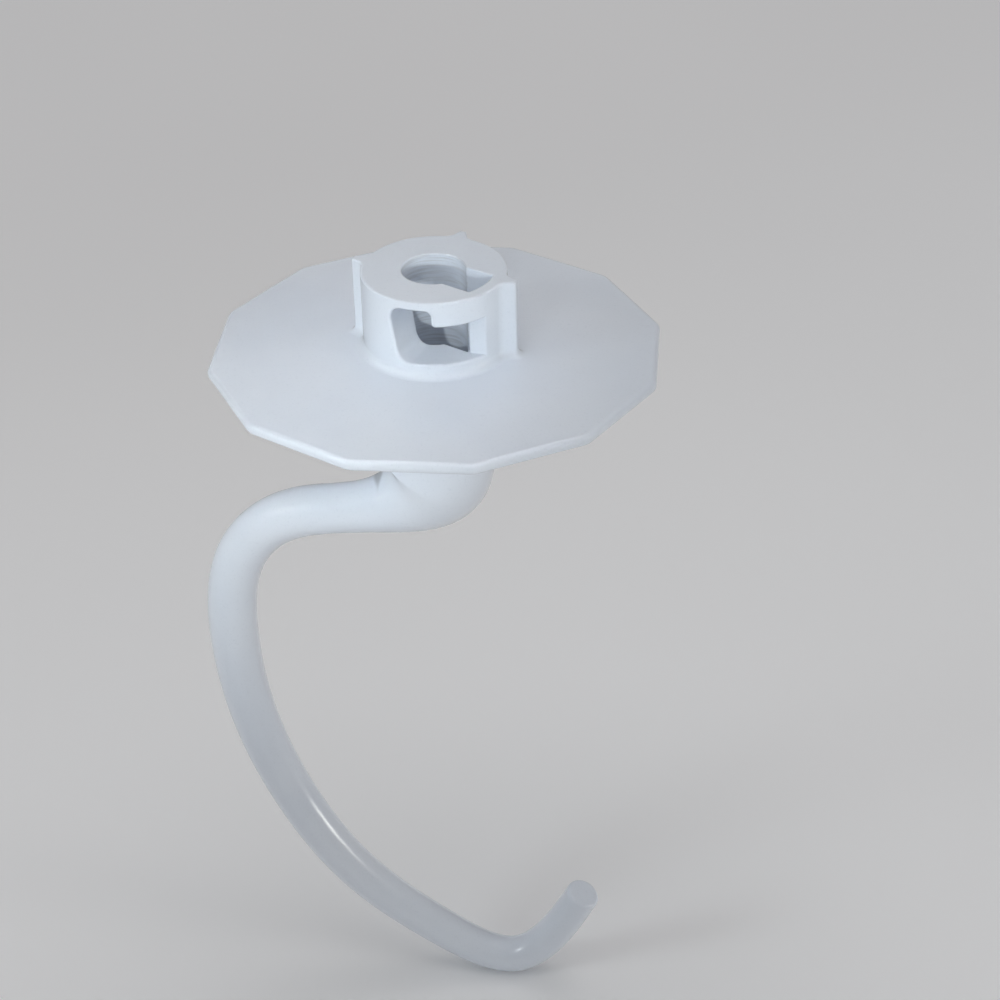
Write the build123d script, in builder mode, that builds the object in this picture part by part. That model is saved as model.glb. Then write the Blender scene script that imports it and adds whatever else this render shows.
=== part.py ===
"""Dough hook: a one-piece coated casting, sizes in millimetres.

The axis of the bore is Z, with +Z towards its open end. The origin lies on that axis, halfway up
the rim of the splash plate. The bayonet window faces -Y and the arm of the hook runs
towards -X.
"""

import os
from math import cos, hypot, radians, sin, sqrt, tan

from build123d import *

# Splash plate: a flat-sided disc with a shallow dome on top and a flat underside.
PLATE_SIDES = 12
PLATE_RADIUS = 45.0  # axis to the sharp corners
PLATE_TURN = 9.4  # one corner's angle from +X
PLATE_RIM = 2.2  # thickness at the rim
PLATE_DOME = 1.1  # rise of the top from the rim to the axis
PLATE_CORNER_ROUND = 4.0
PLATE_RIM_ROUND = 1.0

# Hub: a round boss with three upright ears.
HUB_DIAMETER = 28.4
HUB_HEIGHT = 18.1  # above the middle of the rim
HUB_TOP_ROUND = 0.4
HUB_FOOT_ROUND = 1.6
EAR_AZIMUTHS = (-19.6, 70.4, 160.4)
EAR_REACH = 2.6  # beyond the side of the hub
EAR_TIP_WIDTH = 1.3
EAR_ROOT_WIDTH = 3.7  # at the side of the hub

# Bore down the middle of the hub, with a keyway out to one side.
BORE_DIAMETER = 12.5
BORE_DEPTH = 31.0  # below the hub's top
BORE_MOUTH_ROUND = 0.3
KEYWAY_AZIMUTH = -35.3
KEYWAY_WIDTH = 7.9
KEYWAY_WALL = 2.45  # left between its end and the side of the hub
KEYWAY_SINK = 2.0  # its floor below the crown of the dome

# Bayonet window in the front of the hub: a slot, with a pocket over its left end. Its left
# wall leans outwards to the top, and its right wall runs from the corner of the keyway
# through to the outside.
WINDOW_LEFT_HEADING = -117.4  # the way the left wall runs
WINDOW_LEFT_FOOT = 0.35  # foot of that wall from the axis, square to its heading
WINDOW_LEFT_LEAN = 11.0  # degrees
WINDOW_RIGHT_AZIMUTH = -46.2  # where the right wall meets the outside
WINDOW_SILL = 2.6  # its floor above the crown of the dome
WINDOW_ROOF = 1.8  # ring left over the pocket, up to the hub's top
POCKET_RIGHT_AZIMUTH = -91.5
POCKET_SHARE = 0.30  # the pocket's part of the window's height
WINDOW_LOW_ROUND = 2.9
WINDOW_HIGH_ROUND = 2.5
POCKET_ROUND = 1.6
LIP_ROUND = 0.8
WINDOW_EDGE_ROUND = 0.5
BLOCK_LAP = 0.5  # how far the parts of the window's block reach into each other

# Neck under the plate, and the elbow where it bends and thins down to the arm.
NECK_DIAMETER = 22.8
NECK_LENGTH = 22.5  # from the middle of the rim to the start of the bend
NECK_FOOT_ROUND = 4.0
NECK_LEAD = 4.0  # how far up the neck the skin of the elbow begins
ELBOW_OUT = 3.0  # a place in the bend: away from the axis
ELBOW_DOWN = 30.7  # and below the middle of the rim
ELBOW_RUN = 26.8  # length of the thinning, along the centreline
ELBOW_TAPER = (1.0, 1.0, 0.68, 0.305, 0.08, 0.0)  # from neck to arm in even steps

# Hook: a round bar on a drawn-out C that leaves the plane of its arm, and tapers to a toe.
ARM_START = 16.7  # axis to the straight part of the arm
ARM_LEVEL = 36.2  # arm's centreline below the middle of the rim
ARM_DIAMETER = 10.54
BACK_DIAMETER = 9.6
HEEL_DIAMETER = 8.6
TOE_DIAMETER = 7.6
TOE_END_ROUND = 0.9
HOOK_REACH = 46.0  # axis to the centreline at its furthest
HOOK_DROP = 121.7  # arm's centreline down to the lowest centreline
HOOK_SWAY = 6.5  # the back's offset towards +Y
TOE_REACH = 29.1
TOE_RISE = 21.3
TOE_SWAY = 8.1  # the toe's offset towards -Y
TOE_HEADING = (0.38, -0.20, 0.90)

# Places on the hook's centreline, as shares of the reach, the sway and the drop.
ARM_PLACE = (0.533, 0.12, 0.008)
SHOULDER_PLACE = (0.706, 0.46, 0.032)
BEND_PLACE = (0.911, 0.85, 0.111)
BACK_PLACE = (1.0, 1.0, 0.285)
SWEEP_PLACE = (0.782, 0.77, 0.654)
LOWER_PLACE = (0.533, 0.23, 0.80)
# The heel and the ball lie beyond the axis plane: shares of the toe's sway and of the drop.
HEEL_PLACE = (0.05, 0.31, 0.9545)
BALL_PLACE = (0.43, 0.625, 1.0)

LONG_SECTIONS = 15
TOE_SECTIONS = 12
TOE_START = 0.78  # share of the hook where the tight bend of the toe begins

hub_radius = HUB_DIAMETER / 2
ear_radius = hub_radius + EAR_REACH
ear_spread = (EAR_ROOT_WIDTH - EAR_TIP_WIDTH) / 2 / EAR_REACH * ear_radius
ear_corners = (
    (0, EAR_TIP_WIDTH / 2 + ear_spread),
    (0, -EAR_TIP_WIDTH / 2 - ear_spread),
    (ear_radius, -EAR_TIP_WIDTH / 2),
    (ear_radius, EAR_TIP_WIDTH / 2),
)
ear_tip_round = 0.15 * EAR_REACH
ear_root_round = 0.83 * EAR_REACH
hub_foot_round = min(HUB_FOOT_ROUND, 0.85 * ear_root_round)
bore_radius = BORE_DIAMETER / 2
keyway_radius = hub_radius - KEYWAY_WALL
neck_radius = NECK_DIAMETER / 2
arm_radius = ARM_DIAMETER / 2
rim_half = PLATE_RIM / 2
rim_round = min(PLATE_RIM_ROUND, 0.92 * rim_half)
dome_top = rim_half + PLATE_DOME
dome_radius = (PLATE_RADIUS**2 + PLATE_DOME**2) / (2 * PLATE_DOME)
dome_edge = 1.2 * PLATE_RADIUS


def polar(radius, azimuth):
    """A point of the XY plane at a radius and an angle in degrees."""
    return (radius * cos(radians(azimuth)), radius * sin(radians(azimuth)))


def dome_height(radius):
    """Height of the plate's domed top at a distance from the axis."""
    return dome_top - dome_radius + sqrt(dome_radius**2 - radius**2)


def across_y(centre, heading):
    """A plane square to a heading, turned so that its X axis stays close to +Y."""
    normal = Vector(*heading).normalized()
    side = Vector(0, 1, 0) - normal * normal.dot(Vector(0, 1, 0))
    return Plane(origin=centre, x_dir=side, z_dir=normal)


# Centreline of the neck, the elbow and the hook, down to the end of the toe.
back_places = (
    ARM_PLACE,
    SHOULDER_PLACE,
    BEND_PLACE,
    BACK_PLACE,
    SWEEP_PLACE,
    LOWER_PLACE,
)
line_points = [(0, 0, -NECK_LENGTH), (-ELBOW_OUT, 0, -ELBOW_DOWN), (-ARM_START, 0, -ARM_LEVEL)]
for along, aside, down in back_places:
    line_points.append((-along * HOOK_REACH, aside * HOOK_SWAY, -ARM_LEVEL - down * HOOK_DROP))
along, aside, down = HEEL_PLACE
line_points.append((-along * HOOK_REACH, -aside * TOE_SWAY, -ARM_LEVEL - down * HOOK_DROP))
along, aside, down = BALL_PLACE
line_points.append((along * TOE_REACH, -aside * TOE_SWAY, -ARM_LEVEL - down * HOOK_DROP))
line_points.append((TOE_REACH, -TOE_SWAY, -ARM_LEVEL - HOOK_DROP + TOE_RISE))

with BuildLine() as centreline:
    Spline(*line_points, tangents=[(0, 0, -1), TOE_HEADING], tangent_scalars=(1, 1))
hook_line = centreline.line.edges()[0]
elbow_share = ELBOW_RUN / hook_line.length


def bar_radius(share):
    """Radius of the bar at a share of the hook's length, from the arm to the toe."""
    steps = (
        (0.0, ARM_DIAMETER / 2),
        (0.25, ARM_DIAMETER / 2),
        (0.5, BACK_DIAMETER / 2),
        (0.75, HEEL_DIAMETER / 2),
        (1.0, TOE_DIAMETER / 2),
    )
    for (low, low_radius), (high, high_radius) in zip(steps, steps[1:]):
        if share <= high:
            part_way = (share - low) / (high - low)
            return low_radius + part_way * (high_radius - low_radius)
    return TOE_DIAMETER / 2


# Sections of the bar: where they stand on the centreline, and their radii.
bar_sections = []
for step, taper in enumerate(ELBOW_TAPER):
    place = elbow_share * step / (len(ELBOW_TAPER) - 1)
    bar_sections.append((place, arm_radius + taper * (neck_radius - arm_radius)))
hook_shares = [TOE_START * step / LONG_SECTIONS for step in range(1, LONG_SECTIONS + 1)]
hook_shares += [TOE_START + (1 - TOE_START) * step / TOE_SECTIONS for step in range(1, TOE_SECTIONS + 1)]
for share in hook_shares:
    bar_sections.append((elbow_share + (1 - elbow_share) * share, bar_radius(share)))


def is_foot(edge):
    """True for the edges where the hub and its ears meet the plate's top."""
    middle = edge.position_at(0.5)
    level = dome_height(hypot(middle.X, middle.Y))
    return abs(middle.Z - level) < 0.05 and hypot(middle.X, middle.Y) < ear_radius + EAR_REACH


def is_neck_foot(edge):
    """True for the circle where the neck meets the plate's underside."""
    return abs(edge.radius - neck_radius) < 0.01 and abs(edge.center().Z + rim_half) < 0.01


def crossing(start, way, other_start, other_way):
    """Where two lines of the XY plane meet."""
    gap = other_start - start
    turn = way.X * other_way.Y - way.Y * other_way.X
    return start + way * ((gap.X * other_way.Y - gap.Y * other_way.X) / turn)


# The window's block is a union of five: the left end, which leans, the slot's lower and upper
# parts, the pocket, and a strip that carries the rounds of the pocket's right wall.
hang_down = (Align.CENTER, Align.CENTER, Align.MAX)
block_reach = 2 * hub_radius
block_start = bore_radius / 2
window_floor = dome_top + WINDOW_SILL
pocket_top = HUB_HEIGHT - WINDOW_ROOF
pocket_height = POCKET_SHARE * (pocket_top - window_floor)
slot_top = pocket_top - pocket_height
bend_level = window_floor + WINDOW_LOW_ROUND
pocket_round = min(POCKET_ROUND, 0.6 * pocket_height)
lip_round = min(LIP_ROUND, 0.3 * pocket_height)

# Left end: its profile seen along its heading, from the low round up to the pocket's top.
left_run = Vector(*polar(1, WINDOW_LEFT_HEADING))
left_side = Vector(*polar(1, WINDOW_LEFT_HEADING + 90))
left_plane = Plane(origin=left_run * block_start, x_dir=left_side, z_dir=left_run)
left_foot = -WINDOW_LEFT_FOOT
left_head = left_foot - (pocket_top - window_floor) * tan(radians(WINDOW_LEFT_LEAN))
foot_end = left_foot + WINDOW_LOW_ROUND
head_end = left_head + 1.3 * WINDOW_HIGH_ROUND
left_corners = (
    (left_foot, window_floor),
    (left_head, pocket_top),
    (head_end + BLOCK_LAP, pocket_top),
    (head_end + BLOCK_LAP, bend_level + BLOCK_LAP),
    (foot_end + BLOCK_LAP, bend_level + BLOCK_LAP),
    (foot_end + BLOCK_LAP, window_floor),
)

# Strip: its profile seen along the pocket's right wall, which is radial.
pocket_run = Vector(*polar(1, POCKET_RIGHT_AZIMUTH))
pocket_side = Vector(*polar(1, POCKET_RIGHT_AZIMUTH + 90))
pocket_plane = Plane(origin=pocket_run * block_start, x_dir=pocket_side, z_dir=pocket_run)
strip_corners = (
    (-pocket_round - BLOCK_LAP, bend_level),
    (-pocket_round - BLOCK_LAP, pocket_top),
    (0, pocket_top),
    (0, slot_top),
    (2 * lip_round, slot_top),
    (2 * lip_round, bend_level),
)

# Slot and pocket in plan: the slot ends at the corner of the keyway towards -Y.
keyway_depth = HUB_HEIGHT - dome_top + KEYWAY_SINK
keyway_side = Vector(*polar(KEYWAY_WIDTH / 2, KEYWAY_AZIMUTH - 90))
keyway_run = Vector(*polar(1, KEYWAY_AZIMUTH))
keyway_corner = keyway_side + keyway_run * sqrt(keyway_radius**2 - (KEYWAY_WIDTH / 2) ** 2)
right_edge = Vector(*polar(hub_radius, WINDOW_RIGHT_AZIMUTH))
right_out = keyway_corner + (right_edge - keyway_corner).normalized() * hub_radius
foot_line = left_side * foot_end
head_line = left_side * head_end
lip_line = pocket_side * lip_round
wall_line = pocket_side * -pocket_round
low_slot = (
    crossing(foot_line, left_run, keyway_side, keyway_run),
    foot_line + left_run * block_reach,
    right_out,
    keyway_corner,
)
high_slot = (
    crossing(lip_line, pocket_run, keyway_side, keyway_run),
    lip_line + pocket_run * block_reach,
    right_out,
    keyway_corner,
)
pocket_plan = (
    crossing(head_line, left_run, wall_line, pocket_run),
    head_line + left_run * block_reach,
    wall_line + pocket_run * block_reach,
)


def is_window_rim(edge):
    """True for the edges where the window breaks through the outside of the hub."""
    middle = edge.position_at(0.5)
    on_side = abs(hypot(middle.X, middle.Y) - hub_radius) < 0.02
    lowest = window_floor - WINDOW_EDGE_ROUND
    return on_side and middle.Y < -0.7 * hub_radius and lowest < middle.Z < pocket_top + WINDOW_EDGE_ROUND


def is_mouth(edge):
    """True for the inner edges of the hub's top."""
    middle = edge.position_at(0.5)
    return abs(middle.Z - HUB_HEIGHT) < 0.01 and hypot(middle.X, middle.Y) < keyway_radius + BORE_MOUTH_ROUND


with BuildPart() as dough_hook:
    # Plate: a polygon raised past the dome, then kept only where the dome's body is.
    with BuildSketch(Plane.XY.offset(-rim_half)) as plate_outline:
        RegularPolygon(PLATE_RADIUS, PLATE_SIDES, rotation=PLATE_TURN)
        fillet(plate_outline.vertices(), PLATE_CORNER_ROUND)
    extrude(amount=PLATE_RIM + 2 * PLATE_DOME)
    with BuildSketch(Plane.XZ):
        with BuildLine():
            Polyline(
                (0, dome_top),
                (0, -rim_half),
                (dome_edge, -rim_half),
                (dome_edge, dome_height(dome_edge)),
            )
            ThreePointArc(
                (dome_edge, dome_height(dome_edge)),
                (dome_edge / 2, dome_height(dome_edge / 2)),
                (0, dome_top),
            )
        make_face()
    revolve(axis=Axis.Z, mode=Mode.INTERSECT)
    fillet(faces().sort_by(Axis.Z)[-1].edges(), rim_round)
    fillet(faces().sort_by(Axis.Z)[0].edges(), rim_round)

    # Hub with its ears, standing on the dome, and the soft foot around it.
    with BuildSketch() as hub_outline:
        Circle(hub_radius)
        for azimuth in EAR_AZIMUTHS:
            with Locations(Rotation(0, 0, azimuth)):
                Polygon(*ear_corners, align=None)
        tips = hub_outline.vertices().filter_by(lambda v: hypot(v.X, v.Y) > hub_radius + EAR_REACH / 2)
        fillet(tips, ear_tip_round)
        roots = hub_outline.vertices().filter_by(lambda v: hypot(v.X, v.Y) < hub_radius + ear_tip_round)
        fillet(roots, ear_root_round)
    extrude(amount=HUB_HEIGHT)
    foot = edges().filter_by(lambda e: is_foot(e))
    fillet(foot, hub_foot_round)
    fillet(faces().sort_by(Axis.Z)[-1].edges(), HUB_TOP_ROUND)

    # Neck, down to where the elbow begins, with a soft foot under the plate.
    with BuildSketch(Plane.XY.offset(-rim_half)):
        Circle(neck_radius)
    extrude(amount=rim_half - NECK_LENGTH)
    neck_foot = edges().filter_by(GeomType.CIRCLE).filter_by(lambda e: is_neck_foot(e))
    fillet(neck_foot, NECK_FOOT_ROUND)

    # Bore and keyway, open at the hub's top.
    with Locations((0, 0, HUB_HEIGHT)):
        Cylinder(bore_radius, BORE_DEPTH, align=hang_down, mode=Mode.SUBTRACT)
    with BuildSketch(Plane.XY.offset(HUB_HEIGHT)):
        with Locations(Rotation(0, 0, KEYWAY_AZIMUTH)):
            Rectangle(2 * keyway_radius, KEYWAY_WIDTH, align=(Align.MIN, Align.CENTER))
        Circle(keyway_radius, mode=Mode.INTERSECT)
    extrude(amount=-keyway_depth, mode=Mode.SUBTRACT)

    # Bayonet window, cut with a block whose profiles carry the corner rounds.
    with BuildPart(mode=Mode.PRIVATE) as window_block:
        with BuildSketch(left_plane) as left_end:
            Polygon(*left_corners, align=None)
            fillet(left_end.vertices().sort_by_distance((left_foot, window_floor))[0], WINDOW_LOW_ROUND)
            fillet(left_end.vertices().sort_by_distance((left_head, pocket_top))[0], WINDOW_HIGH_ROUND)
        extrude(amount=block_reach)
        with BuildSketch(pocket_plane) as pocket_strip:
            Polygon(*strip_corners, align=None)
            fillet(pocket_strip.vertices().sort_by_distance((0, pocket_top))[0], pocket_round)
            fillet(pocket_strip.vertices().sort_by_distance((0, slot_top))[0], lip_round)
        extrude(amount=block_reach)
        with BuildSketch(Plane.XY.offset(bend_level)):
            Polygon(*pocket_plan, align=None)
        extrude(amount=pocket_top - bend_level)
        with BuildSketch(Plane.XY.offset(bend_level)):
            Polygon(*high_slot, align=None)
        extrude(amount=slot_top - bend_level)
        with BuildSketch(Plane.XY.offset(window_floor)):
            Polygon(*low_slot, align=None)
        extrude(amount=WINDOW_LOW_ROUND)
    add(window_block.part, mode=Mode.SUBTRACT)

    # Softened edges: the outside of the window, and the mouth of the bore and keyway.
    fillet(edges().filter_by(lambda e: is_window_rim(e)), WINDOW_EDGE_ROUND)
    fillet(edges().filter_by(lambda e: is_mouth(e)), BORE_MOUTH_ROUND)

    # Elbow and hook: one skin through round sections square to the centreline.
    with BuildPart(mode=Mode.PRIVATE) as hook_bar:
        for lead in (NECK_LEAD, NECK_LEAD / 2):
            with BuildSketch(across_y((0, 0, lead - NECK_LENGTH), (0, 0, -1))):
                Circle(neck_radius)
        for place, radius in bar_sections:
            with BuildSketch(across_y(hook_line @ place, hook_line % place)):
                Circle(radius)
        loft()
        toe_end = faces().filter_by(GeomType.PLANE).sort_by_distance(line_points[-1])[0]
        fillet(toe_end.edges(), TOE_END_ROUND)
    add(hook_bar.part)

dough_hook.part.label = "dough_hook"
os.makedirs("parts", exist_ok=True)
export_step(dough_hook.part, "parts/dough_hook.step")
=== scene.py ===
"""Gives a dough hook casting its gloss white coat and sets it in a plain studio."""

from typing import NamedTuple
import bpy
from mathutils import Matrix
from mathutils import Vector


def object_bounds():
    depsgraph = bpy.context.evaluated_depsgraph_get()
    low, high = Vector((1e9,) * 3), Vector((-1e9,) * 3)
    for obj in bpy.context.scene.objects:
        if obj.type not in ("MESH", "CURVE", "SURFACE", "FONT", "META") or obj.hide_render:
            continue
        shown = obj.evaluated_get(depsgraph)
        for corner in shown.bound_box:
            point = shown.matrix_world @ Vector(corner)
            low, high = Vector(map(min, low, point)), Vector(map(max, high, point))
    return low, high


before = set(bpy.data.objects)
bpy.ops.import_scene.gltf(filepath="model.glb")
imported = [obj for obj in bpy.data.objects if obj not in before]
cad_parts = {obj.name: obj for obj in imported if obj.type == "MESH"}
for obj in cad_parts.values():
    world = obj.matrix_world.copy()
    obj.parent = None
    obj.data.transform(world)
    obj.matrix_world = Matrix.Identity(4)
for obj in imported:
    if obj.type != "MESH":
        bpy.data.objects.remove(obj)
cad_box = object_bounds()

bl_info = {
    "name": "Dough Hook Finish",
    "version": (1, 0, 0),
    "blender": (4, 5, 0),
    "location": "View3D > Sidebar > Dough Hook",
    "description": "Coats a dough hook casting and sets it in a plain studio",
    "category": "Object",
}

CASTING = "dough_hook"
MM = 0.001

# The coat: the sizes of its broad drift, its pigment and its duller patches.
DRIFT_SIZE = 30 * MM
PIGMENT_SIZE = 0.5 * MM
PIGMENT_WEIGHT = 0.5
PIGMENT_SHADE = 0.93
DULL_SIZE = 9 * MM
DULL_ROUGHNESS = 0.06
DULL_GLOSS_LOSS = 0.12
PEEL_STRENGTH = 0.2
LACQUER_IOR = 1.5
SKIN_ROUGHNESS = 0.06

# Specks of dust that dried into the coat.
SPECK_SPACING = 11 * MM
SPECK_RADIUS = 0.24 * MM
SPECK_CORE = 0.6
SPECK_SHARE = 0.5
SPECK_STEP = 0.001
SPECK_WEIGHT = 0.6
SPECK_COLOUR = (0.16, 0.15, 0.14)

# The painted shade of the crease in the inner corner between the casting's neck and its arm: a darker line
# mixed into the coat colour.
MARK_ACROSS = -12.8 * MM
MARK_START = 1.0 * MM
MARK_END = -5.0 * MM
MARK_LEVEL = -30.0 * MM
MARK_START_HALF = 1.3 * MM
MARK_END_HALF = 0.3 * MM
MARK_EDGE = 0.8 * MM
MARK_TAIL = 4 * MM
MARK_LEVEL_FULL = 2 * MM
MARK_LEVEL_GONE = 3 * MM
MARK_BACK_FULL = 1.5 * MM
MARK_BACK_GONE = 3.5 * MM
MARK_WEIGHT = 0.7
MARK_SHADE = 0.5

# The bore, in the shared frame, and the rub marks that ring its wall.
BORE_REACH = 6.25 * MM
BORE_FLOOR = -12.9 * MM
RUB_FULL = BORE_REACH + 0.05 * MM
RUB_GONE = BORE_REACH + 0.35 * MM
RUB_RISE = 3 * MM
RUB_WEIGHT = 0.55
RUB_ROUGHNESS = 0.2
RUB_GLOSS_LOSS = 0.5
RING_SIZE = 1.2 * MM
RING_STRETCH = (0.15, 0.15, 2.5)

# The floor, level with the lowest point of the casting.
FLOOR_LEVEL = cad_box[0].z
FLOOR_SIZE = 24.0
FLOOR_PATCH = 0.4
FLOOR_LIFT = 1.02
FLOOR_ROUGHNESS = 0.8

# Colours of the lights, what they are aimed at, and the spread in radians of one that shines all ways.
WHITE = (1.0, 1.0, 1.0)
COOL = (0.91, 0.98, 1.0)
SOFT = (1.0, 0.985, 1.0)
WARM = (1.0, 0.99, 0.95)
MIDDLE = (0.0, 0.0, 0.0)
HUB = (0.0, 0.0, 0.028)
SHOULDER = (-0.022, 0.0, -0.034)
WIDE = 3.14

# Where the camera stands, and the directions of its right, its top and its back.
CAMERA_PLACE = (11.88 * MM, -393.86 * MM, 222.9 * MM)
CAMERA_RIGHT = (0.99982, -0.01046, -0.01595)
CAMERA_UP = (0.01908, 0.5482, 0.8362)
CAMERA_BACK = (0.0, -0.8363, 0.5483)
SENSOR_WIDTH = 36.0
NEAREST = 0.01
FARTHEST = 100.0

# Numbers of the sockets of a Mix node that mixes colours, because several sockets share a name.
MIX_FACTOR = 0
MIX_UNDER = 6
MIX_OVER = 7
MIX_RESULT = 2


class PanelLight(NamedTuple):
    """A square light: where it stands, what it is aimed at, its width, colour and spread."""

    place: tuple
    aim: tuple
    width: float
    colour: tuple
    spread: float = WIDE
    narrow: bool = False


# The narrow lights pick out the hub and the shoulder of the arm.
LIGHTS = {
    "sky": PanelLight(place=(0.0, 0.20, 2.50), aim=MIDDLE, width=2.4, colour=SOFT),
    "left": PanelLight(place=(-0.80, -0.35, 0.45), aim=MIDDLE, width=0.50, colour=COOL, spread=0.40),
    "right": PanelLight(place=(0.75, -0.25, 0.15), aim=MIDDLE, width=0.50, colour=WARM, spread=0.40),
    "back": PanelLight(place=(0.0, 0.90, 0.60), aim=MIDDLE, width=1.0, colour=SOFT),
    "hub": PanelLight((0.0, -0.90, 0.20), HUB, width=0.07, colour=COOL, spread=0.07, narrow=True),
    "key": PanelLight((-0.35, -0.72, 0.42), SHOULDER, width=0.08, colour=COOL, spread=0.09, narrow=True),
}


class Wire:
    """An output of a shader node that can be used in sums like a number."""

    def __init__(self, tree, socket):
        self.tree = tree
        self.socket = socket

    def node(self, kind, settings=None, sockets=None, output=0):
        """Adds a node: its settings are set first, then its sockets take values or wires."""
        made = self.tree.nodes.new(kind)
        for name, value in (settings or {}).items():
            setattr(made, name, value)
        for name, value in (sockets or {}).items():
            if isinstance(value, Wire):
                self.tree.links.new(value.socket, made.inputs[name])
            else:
                made.inputs[name].default_value = value
        if not made.outputs:
            return self
        return Wire(self.tree, made.outputs[output])

    def sum_node(self, operation, first, second):
        """Adds a Math node for one operation on two values."""
        return self.node("ShaderNodeMath", {"operation": operation}, {0: first, 1: second})

    def __add__(self, other):
        return self.sum_node("ADD", self, other)

    def __radd__(self, other):
        return self.sum_node("ADD", other, self)

    def __sub__(self, other):
        return self.sum_node("SUBTRACT", self, other)

    def __rsub__(self, other):
        return self.sum_node("SUBTRACT", other, self)

    def __mul__(self, other):
        return self.sum_node("MULTIPLY", self, other)

    def __rmul__(self, other):
        return self.sum_node("MULTIPLY", other, self)

    def __pow__(self, other):
        return self.sum_node("POWER", self, other)

    def __rpow__(self, other):
        return self.sum_node("POWER", other, self)

    def distance(self, other):
        """How far this value is from another, above or below it."""
        return ((self - other) ** 2.0) ** 0.5

    def band(self, low, high, start=0.0, end=1.0):
        """Goes smoothly from start to end as this value goes from low to high."""
        settings = {"interpolation_type": "SMOOTHSTEP"}
        sockets = {"Value": self, "From Min": low, "From Max": high, "To Min": start, "To Max": end}
        return self.node("ShaderNodeMapRange", settings, sockets)

    def fade(self, full, gone):
        """Goes smoothly from one to nothing as this value goes from full to gone."""
        return self.band(full, gone, start=1.0, end=0.0)

    def tint(self, under, over):
        """Mixes two colours by this value."""
        settings = {"data_type": "RGBA", "blend_type": "MIX"}
        sockets = {MIX_FACTOR: self, MIX_UNDER: under, MIX_OVER: over}
        return self.node("ShaderNodeMix", settings, sockets, MIX_RESULT)

    def grain(self, size, detail=2.0, roughness=0.5):
        """Soft noise whose lumps are about one size across, at this place."""
        sockets = {"Vector": self, "Scale": 1 / size, "Detail": detail, "Roughness": roughness}
        return self.node("ShaderNodeTexNoise", {}, sockets, "Fac")

    def stretched(self, scale):
        """This place with each axis drawn out or pressed together."""
        settings = {"vector_type": "POINT"}
        return self.node("ShaderNodeMapping", settings, {"Vector": self, "Scale": scale})

    def axis(self, name):
        """One coordinate of this place."""
        return self.node("ShaderNodeSeparateXYZ", {}, {"Vector": self}, name)

    def specks(self, spacing, radius, share):
        """One in a small dot, for a share of the cells that fill space at a spacing."""
        settings = {"feature": "F1", "distance": "EUCLIDEAN"}
        sockets = {"Vector": self, "Scale": 1 / spacing}
        reach = self.node("ShaderNodeTexVoronoi", settings, sockets, "Distance")
        chance = self.node("ShaderNodeTexVoronoi", settings, sockets, "Color")
        lot = chance.node("ShaderNodeSeparateColor", {}, {"Color": chance}, "Red")
        dot = reach.fade(SPECK_CORE * radius / spacing, radius / spacing)
        return dot * lot.band(1.0 - share, 1.0 - share + SPECK_STEP)


def start_material(name):
    """A new material with an empty tree, and the wire of the object's own coordinates."""
    material = bpy.data.materials.new(name)
    material.use_nodes = True
    material.node_tree.nodes.clear()
    start = Wire(material.node_tree, None)
    place = start.node("ShaderNodeTexCoord", {}, {}, "Object")
    return material, place


def finish_material(place, shader_sockets):
    """Adds the shader and the output to a material's tree."""
    shader = place.node("ShaderNodeBsdfPrincipled", {}, shader_sockets, "BSDF")
    place.node("ShaderNodeOutputMaterial", {}, {"Surface": shader})


def opaque(colour, shade=1.0):
    """A colour, darker or lighter by a factor, with full alpha, as a colour socket takes it."""
    return (*[min(1.0, part * shade) for part in colour], 1.0)


class CoatSettings(bpy.types.PropertyGroup):
    """The white coat of the casting."""

    colour: bpy.props.FloatVectorProperty(
        name="Coat colour",
        description="Colour of the coat where it is thick",
        subtype="COLOR",
        size=3,
        min=0.0,
        max=1.0,
        default=(0.765, 0.81, 0.88),
    )
    cool_colour: bpy.props.FloatVectorProperty(
        name="Thin colour",
        description="Colour that the coat drifts to in broad patches where it is thinner",
        subtype="COLOR",
        size=3,
        min=0.0,
        max=1.0,
        default=(0.735, 0.785, 0.865),
    )
    rub_colour: bpy.props.FloatVectorProperty(
        name="Rubbed colour",
        description="Colour of the coat where it is rubbed in the bore",
        subtype="COLOR",
        size=3,
        min=0.0,
        max=1.0,
        default=(0.52, 0.53, 0.55),
    )
    roughness: bpy.props.FloatProperty(
        name="Roughness",
        description="Least roughness of the coat's body, under its glossy skin",
        subtype="FACTOR",
        min=0.0,
        max=1.0,
        default=0.30,
    )
    gloss: bpy.props.FloatProperty(
        name="Gloss",
        description="Greatest weight of the coat's glossy skin",
        subtype="FACTOR",
        min=0.0,
        max=1.0,
        default=0.75,
    )
    peel_size: bpy.props.FloatProperty(
        name="Peel size",
        description="Size of the fine waves that the coat dries with",
        subtype="DISTANCE",
        unit="LENGTH",
        min=0.0001,
        default=2.4 * MM,
    )
    peel_depth: bpy.props.FloatProperty(
        name="Peel depth",
        description="Height of the fine waves in the coat",
        subtype="DISTANCE",
        unit="LENGTH",
        min=0.0,
        default=0.02 * MM,
    )


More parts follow.
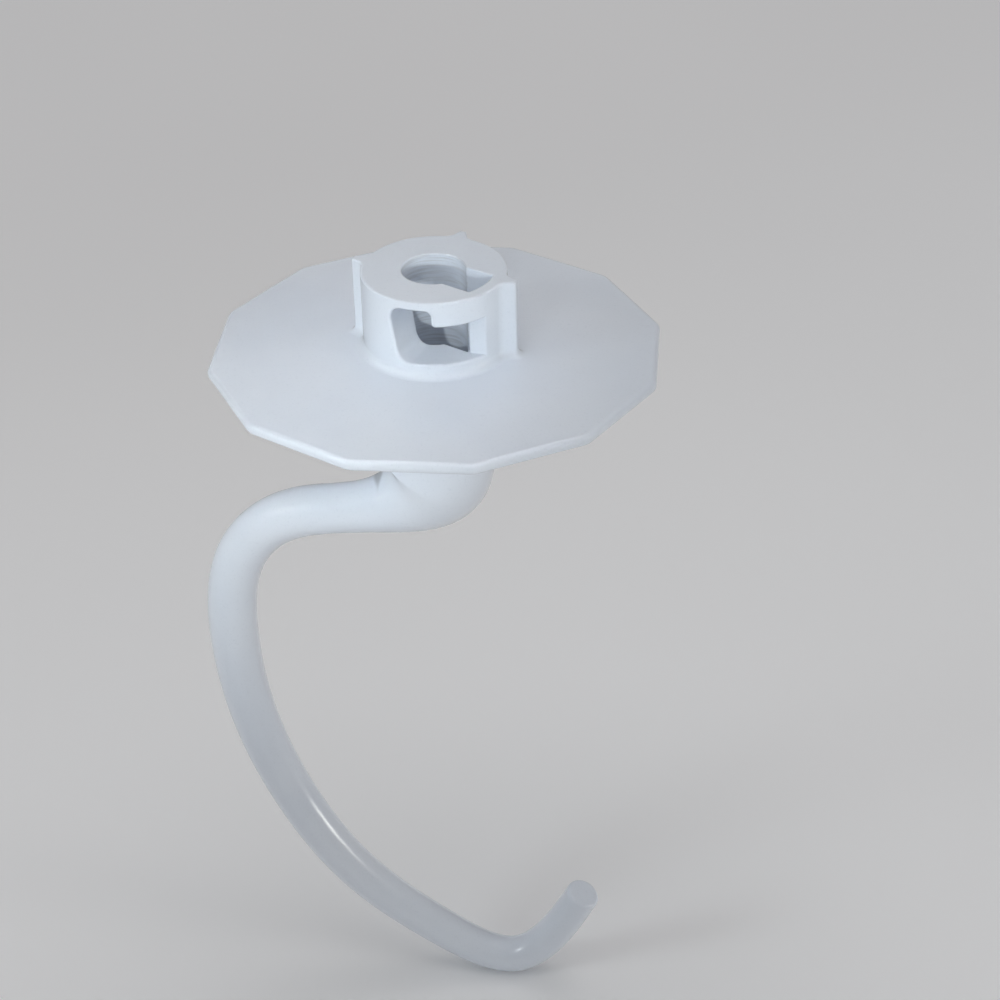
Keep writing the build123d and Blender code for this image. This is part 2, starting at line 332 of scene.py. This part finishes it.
class StageSettings(bpy.types.PropertyGroup):
    """The floor, the lights and the camera."""

    floor_colour: bpy.props.FloatVectorProperty(
        name="Floor colour",
        description="Colour of the pale floor",
        subtype="COLOR",
        size=3,
        min=0.0,
        max=1.0,
        default=(0.95, 0.95, 0.955),
    )
    room_light: bpy.props.FloatProperty(
        name="Room light",
        description="Strength of the even light from all round",
        min=0.0,
        default=0.28,
    )
    sky_power: bpy.props.FloatProperty(
        name="Sky light",
        description="Power of the broad soft light high overhead",
        subtype="POWER",
        unit="POWER",
        min=0.0,
        default=18.0,
    )
    hub_power: bpy.props.FloatProperty(
        name="Hub light",
        description="Power of the narrow light from the front at the hub",
        subtype="POWER",
        unit="POWER",
        min=0.0,
        default=0.0058,
    )
    key_power: bpy.props.FloatProperty(
        name="Key light",
        description="Power of the narrow light from the upper left at the plate and the arm",
        subtype="POWER",
        unit="POWER",
        min=0.0,
        default=0.0105,
    )
    left_power: bpy.props.FloatProperty(
        name="Left light",
        description="Power of the cool light at the upper left",
        subtype="POWER",
        unit="POWER",
        min=0.0,
        default=0.10,
    )
    right_power: bpy.props.FloatProperty(
        name="Right light",
        description="Power of the warm light at the right",
        subtype="POWER",
        unit="POWER",
        min=0.0,
        default=0.12,
    )
    back_power: bpy.props.FloatProperty(
        name="Back light",
        description="Power of the broad light behind, which the plate mirrors",
        subtype="POWER",
        unit="POWER",
        min=0.0,
        default=0.3,
    )
    lens: bpy.props.FloatProperty(
        name="Lens",
        description="Focal length of the camera",
        subtype="DISTANCE_CAMERA",
        unit="CAMERA",
        min=1.0,
        default=82.8,
    )


class DOUGHHOOK_OT_coat_casting(bpy.types.Operator):
    """Coat the casting with gloss white"""

    bl_idname = "doughhook.coat_casting"
    bl_label = "Coat Casting"

    def execute(self, context):
        settings = context.scene.doughhook_coat
        material, place = start_material("gloss_white_coat")
        rub = self.rub_marks(place)
        colour = self.coat_colour(place, settings)
        # The crease in the inner corner gets painted shade: a darker line mixed into the coat colour.
        colour = (self.painted_crease_shade(place) * MARK_WEIGHT).tint(colour, opaque(settings.cool_colour, MARK_SHADE))
        colour = rub.tint(colour, opaque(settings.rub_colour))

        # The skin: fine waves, and patches that are a little duller.
        waves = place.grain(settings.peel_size)
        bump_sockets = {"Strength": PEEL_STRENGTH, "Distance": settings.peel_depth, "Height": waves}
        bump = place.node("ShaderNodeBump", {}, bump_sockets, "Normal")
        dull = place.grain(DULL_SIZE, detail=4.0, roughness=0.6).band(low=0.4, high=0.75)
        finish_material(
            place,
            {
                "Base Color": colour,
                "Roughness": settings.roughness + dull * DULL_ROUGHNESS + rub * RUB_ROUGHNESS,
                "Normal": bump,
                "IOR": LACQUER_IOR,
                "Coat Weight": settings.gloss - dull * DULL_GLOSS_LOSS - rub * RUB_GLOSS_LOSS,
                "Coat Roughness": SKIN_ROUGHNESS,
                "Coat IOR": LACQUER_IOR,
            },
        )
        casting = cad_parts[CASTING]
        casting.data.materials.clear()
        casting.data.materials.append(material)
        return {"FINISHED"}

    def coat_colour(self, place, settings):
        """The colour of the coat: broad drift, fine pigment, sparse specks of dust."""
        drift = place.grain(DRIFT_SIZE, detail=3.0).band(low=0.35, high=0.68)
        pigment = place.grain(PIGMENT_SIZE, detail=1.0).band(low=0.55, high=0.80, end=PIGMENT_WEIGHT)
        dust = place.specks(SPECK_SPACING, SPECK_RADIUS, SPECK_SHARE) * SPECK_WEIGHT
        body = drift.tint(opaque(settings.colour), opaque(settings.cool_colour))
        body = pigment.tint(body, opaque(settings.cool_colour, PIGMENT_SHADE))
        return dust.tint(body, opaque(SPECK_COLOUR))

    def painted_crease_shade(self, place):
        """Painted shade of the inner corner's crease: one along a soft line that widens towards the back and
        fades out at both ends.
        """
        along = place.axis("Y")
        aside = place.axis("X").distance(MARK_ACROSS)
        off_level = place.axis("Z").distance(MARK_LEVEL)
        half = along.band(MARK_END, MARK_START, MARK_END_HALF, MARK_START_HALF)
        mark = (half - aside).band(0.0, MARK_EDGE) * along.band(MARK_END, MARK_END + MARK_TAIL)
        mark = mark * off_level.fade(MARK_LEVEL_FULL, MARK_LEVEL_GONE)
        return mark * along.fade(MARK_BACK_FULL, MARK_BACK_GONE)

    def rub_marks(self, place):
        """Rub marks in the bore: rings drawn out around its axis."""
        across = place.axis("X")
        along = place.axis("Y")
        reach = (across * across + along * along) ** 0.5
        in_bore = reach.fade(RUB_FULL, RUB_GONE)
        in_bore = in_bore * place.axis("Z").band(BORE_FLOOR, BORE_FLOOR + RUB_RISE)
        rings = place.stretched(RING_STRETCH).grain(RING_SIZE, detail=3.0, roughness=0.6)
        return in_bore * rings.band(low=0.42, high=0.66) * RUB_WEIGHT


def add_panel_light(name, light, power):
    """Hangs a square light at its place, which the camera does not see."""
    bpy.ops.object.light_add(type="AREA", location=light.place)
    lamp = bpy.context.object
    lamp.name = name
    lamp.data.shape = "SQUARE"
    lamp.data.size = light.width
    lamp.data.energy = power
    lamp.data.color = light.colour
    lamp.data.spread = light.spread
    lamp.visible_camera = False
    lamp.rotation_mode = "QUATERNION"
    lamp.rotation_quaternion = (Vector(light.aim) - Vector(light.place)).to_track_quat("-Z", "Y")
    return lamp


def keep_to_casting(lamp, group):
    """Keeps a narrow light off the floor and out of the coat's mirror images."""
    lamp.visible_glossy = False
    lamp.light_linking.receiver_collection = group


class DOUGHHOOK_OT_set_stage(bpy.types.Operator):
    """Set the floor, the lights and the camera"""

    bl_idname = "doughhook.set_stage"
    bl_label = "Set Stage"

    def execute(self, context):
        settings = context.scene.doughhook_stage
        self.lay_floor(context, settings)
        self.hang_lights(settings)
        self.light_room(context, settings)
        self.set_camera(context, settings)
        return {"FINISHED"}

    def lay_floor(self, context, settings):
        """Lays a wide plain floor under the hook."""
        bpy.ops.object.select_all(action="DESELECT")
        bpy.ops.mesh.primitive_plane_add(size=FLOOR_SIZE, location=(0, 0, FLOOR_LEVEL))
        floor = context.object
        floor.name = "studio_floor"
        material, place = start_material("studio_floor")
        shade = place.grain(FLOOR_PATCH).band(low=0.3, high=0.7)
        pale = opaque(settings.floor_colour)
        paler = opaque(settings.floor_colour, FLOOR_LIFT)
        finish_material(place, {"Base Color": shade.tint(pale, paler), "Roughness": FLOOR_ROUGHNESS})
        floor.data.materials.append(material)

    def hang_lights(self, settings):
        """Hangs the lights, and keeps the narrow ones to the casting."""
        group = bpy.data.collections.new("lit_by_narrow_lights")
        group.objects.link(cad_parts[CASTING])
        for name, light in LIGHTS.items():
            lamp = add_panel_light(name + "_light", light, getattr(settings, name + "_power"))
            if light.narrow:
                keep_to_casting(lamp, group)

    def light_room(self, context, settings):
        """Sets the even light of the room and shows colours as they are."""
        world = bpy.data.worlds.new("studio_room")
        world.use_nodes = True
        background = world.node_tree.nodes["Background"]
        background.inputs["Color"].default_value = opaque(WHITE)
        background.inputs["Strength"].default_value = settings.room_light
        context.scene.world = world
        context.scene.view_settings.view_transform = "Standard"

    def set_camera(self, context, settings):
        """Sets the camera at the viewing angle of the picture."""
        bpy.ops.object.camera_add(location=CAMERA_PLACE)
        camera = context.object
        camera.name = "studio_camera"
        camera.data.sensor_width = SENSOR_WIDTH
        camera.data.lens = settings.lens
        camera.data.clip_start = NEAREST
        camera.data.clip_end = FARTHEST
        turn = Matrix((CAMERA_RIGHT, CAMERA_UP, CAMERA_BACK)).transposed()
        camera.rotation_mode = "QUATERNION"
        camera.rotation_quaternion = turn.to_quaternion()
        context.scene.camera = camera


class DOUGHHOOK_PT_panel(bpy.types.Panel):
    """Lists the sizes, colours and steps of the dough hook's finish"""

    bl_idname = "DOUGHHOOK_PT_panel"
    bl_label = "Dough Hook"
    bl_space_type = "VIEW_3D"
    bl_region_type = "UI"
    bl_category = "Dough Hook"

    def draw(self, context):
        layout = self.layout
        for settings, step in (
            (context.scene.doughhook_coat, DOUGHHOOK_OT_coat_casting),
            (context.scene.doughhook_stage, DOUGHHOOK_OT_set_stage),
        ):
            for name in settings.__annotations__:
                layout.prop(settings, name)
            layout.operator(step.bl_idname)


CLASSES = (
    CoatSettings,
    StageSettings,
    DOUGHHOOK_OT_coat_casting,
    DOUGHHOOK_OT_set_stage,
    DOUGHHOOK_PT_panel,
)


def register():
    """Registers the classes and hangs their settings on the scene."""
    for entry in CLASSES:
        bpy.utils.register_class(entry)
    bpy.types.Scene.doughhook_coat = bpy.props.PointerProperty(type=CoatSettings)
    bpy.types.Scene.doughhook_stage = bpy.props.PointerProperty(type=StageSettings)


def unregister():
    """Takes the settings off the scene and unregisters the classes."""
    del bpy.types.Scene.doughhook_stage
    del bpy.types.Scene.doughhook_coat
    for entry in reversed(CLASSES):
        bpy.utils.unregister_class(entry)


def main():
    """Runs each step in order."""
    register()
    bpy.ops.doughhook.coat_casting()
    bpy.ops.doughhook.set_stage()


if __name__ == "__main__":
    main()
